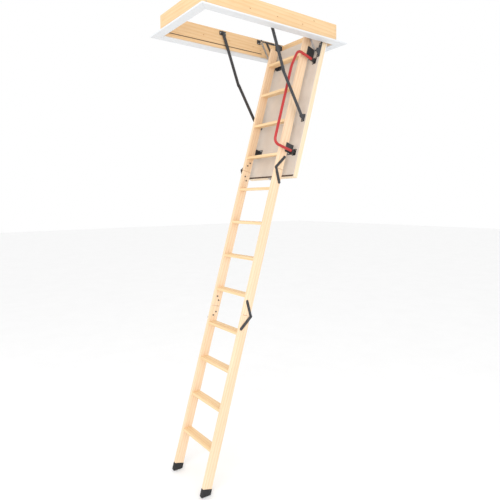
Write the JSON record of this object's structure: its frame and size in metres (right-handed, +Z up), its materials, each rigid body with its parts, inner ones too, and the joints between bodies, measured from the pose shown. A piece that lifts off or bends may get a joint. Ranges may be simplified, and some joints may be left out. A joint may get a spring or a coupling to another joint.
{
  "type": "folding loft ladder",
  "caption": "Folding wooden loft ladder in a ceiling casing: hinged insulated hatch, hinged ladder sections, bent handrail, folding side arms, springs and rubber feet.",
  "frame": {"origin": "centre of the casing opening at the finished ceiling face, where the back of the trim lies", "axes": "+X towards the hinged end of the hatch, +Y to the left of a person climbing, +Z up; stored opened for climbing"},
  "size_m": [1.304, 0.694, 3.2761],
  "materials": {
    "casing_pine": "oiled pine",
    "trim_white": "satin white",
    "zinc": "zinc plated",
    "seal_brown": "soft seal",
    "bright_steel": "satin",
    "dark_steel": "powder coated charcoal",
    "hatch_white": "smooth white board",
    "hatch_pine": "light pine",
    "insulation": "foam",
    "hatch_board": "greyish beige board",
    "stringer_pine": "pale pine",
    "tread_pine": "pale pine",
    "rail_red": "red powder coat",
    "black_plastic": "moulded",
    "black_rubber": "moulded"
  },
  "bodies": {
    "casing": {"casing_left": "casing_pine", "casing_right": "casing_pine", "casing_free_end": "casing_pine", "casing_hinge_end": "casing_pine", "casing_seal": "seal_brown", "trim_left": "trim_white", "trim_right": "trim_white", "trim_free_end": "trim_white", "trim_hinge_end": "trim_white", "casing_screws": "zinc", "strike_plate": "bright_steel", "arm_brackets": "dark_steel", "hinge_brackets": "dark_steel", "spring_anchors": "dark_steel", "bracket_screws": "zinc", "springs": "bright_steel"},
    "hatch": {"hatch_outer_skin": "hatch_white", "hatch_frame": "hatch_pine", "hatch_core": "insulation", "hatch_inner_skin": "hatch_board", "hatch_seal": "seal_brown", "latch_case": "bright_steel", "hook_eye": "bright_steel", "hinge_levers": "dark_steel", "arm_lugs": "dark_steel", "standoffs": "dark_steel", "hatch_screws": "zinc", "stringer_top_left": "stringer_pine", "stringer_top_right": "stringer_pine", "tread_12": "tread_pine", "tread_11": "tread_pine", "tread_10": "tread_pine", "tread_09": "tread_pine", "handrail": "rail_red", "handrail_brackets": "black_plastic", "straps_top": "dark_steel", "bolts_top": "dark_steel"},
    "latch_bolt": {"latch_bolt": "bright_steel"},
    "middle_section": {"stringer_mid_left": "stringer_pine", "stringer_mid_right": "stringer_pine", "tread_08": "tread_pine", "tread_07": "tread_pine", "tread_06": "tread_pine", "tread_05": "tread_pine", "straps_mid_upper": "dark_steel", "straps_mid_lower": "dark_steel", "bolts_mid": "dark_steel"},
    "lower_section": {"stringer_low_left": "stringer_pine", "stringer_low_right": "stringer_pine", "tread_04": "tread_pine", "tread_03": "tread_pine", "tread_02": "tread_pine", "tread_01": "tread_pine", "straps_low": "dark_steel", "bolts_low": "dark_steel", "feet": "black_rubber"},
    "arm_upper_left": {"arm_upper_left": "dark_steel"},
    "arm_upper_right": {"arm_upper_right": "dark_steel"},
    "arm_lower_left": {"arm_lower_left": "dark_steel"},
    "arm_lower_right": {"arm_lower_right": "dark_steel"}
  },
  "joints": [
    {"name": "hatch_swing", "type": "hinge", "parent": "casing", "child": "hatch", "pos_m": [0.515, 0, 0.015], "axis": [0, 1, 0], "range_deg": [0, 54], "deforming": ["springs"]},
    {"name": "ladder_fold", "type": "hinge", "parent": "hatch", "child": "middle_section", "pos_m": [0.0617, 0, -0.94495], "axis": [0, 1, 0], "range_deg": [0, 180]},
    {"name": "lower_fold", "type": "hinge", "parent": "middle_section", "child": "lower_section", "pos_m": [-0.17577, 0, -1.99096], "axis": [0, 1, 0], "range_deg": [-180, 0]},
    {"name": "latch_slide", "type": "slide", "parent": "hatch", "child": "latch_bolt", "axis": [0.289, 0, 0.9573], "range_m": [0, 0.012], "stiffness_N_per_m": 60},
    {"name": "arm_upper_left_turn", "type": "hinge", "parent": "casing", "child": "arm_upper_left", "pos_m": [-0.065, 0, 0.115], "axis": [0, 1, 0], "range_deg": [-1, 91]},
    {"name": "arm_lower_left_turn", "type": "hinge", "parent": "hatch", "child": "arm_lower_left", "pos_m": [0.26053, 0, -0.56835], "axis": [0, 1, 0], "range_deg": [-100, 1]},
    {"name": "arm_upper_right_turn", "type": "hinge", "parent": "casing", "child": "arm_upper_right", "pos_m": [-0.065, 0, 0.115], "axis": [0, 1, 0], "range_deg": [-1, 91]},
    {"name": "arm_lower_right_turn", "type": "hinge", "parent": "hatch", "child": "arm_lower_right", "pos_m": [0.26053, 0, -0.56835], "axis": [0, 1, 0], "range_deg": [-100, 1]}
  ],
  "couplings": [
    {"joint": "lower_fold", "follows": "ladder_fold", "ratio": -1},
    {"joint": "arm_upper_left_turn", "follows": "hatch_swing", "ratio": 1.6533},
    {"joint": "arm_lower_left_turn", "follows": "hatch_swing", "ratio": -1.8266},
    {"joint": "arm_upper_right_turn", "follows": "hatch_swing", "ratio": 1.6533},
    {"joint": "arm_lower_right_turn", "follows": "hatch_swing", "ratio": -1.8266}
  ]
}
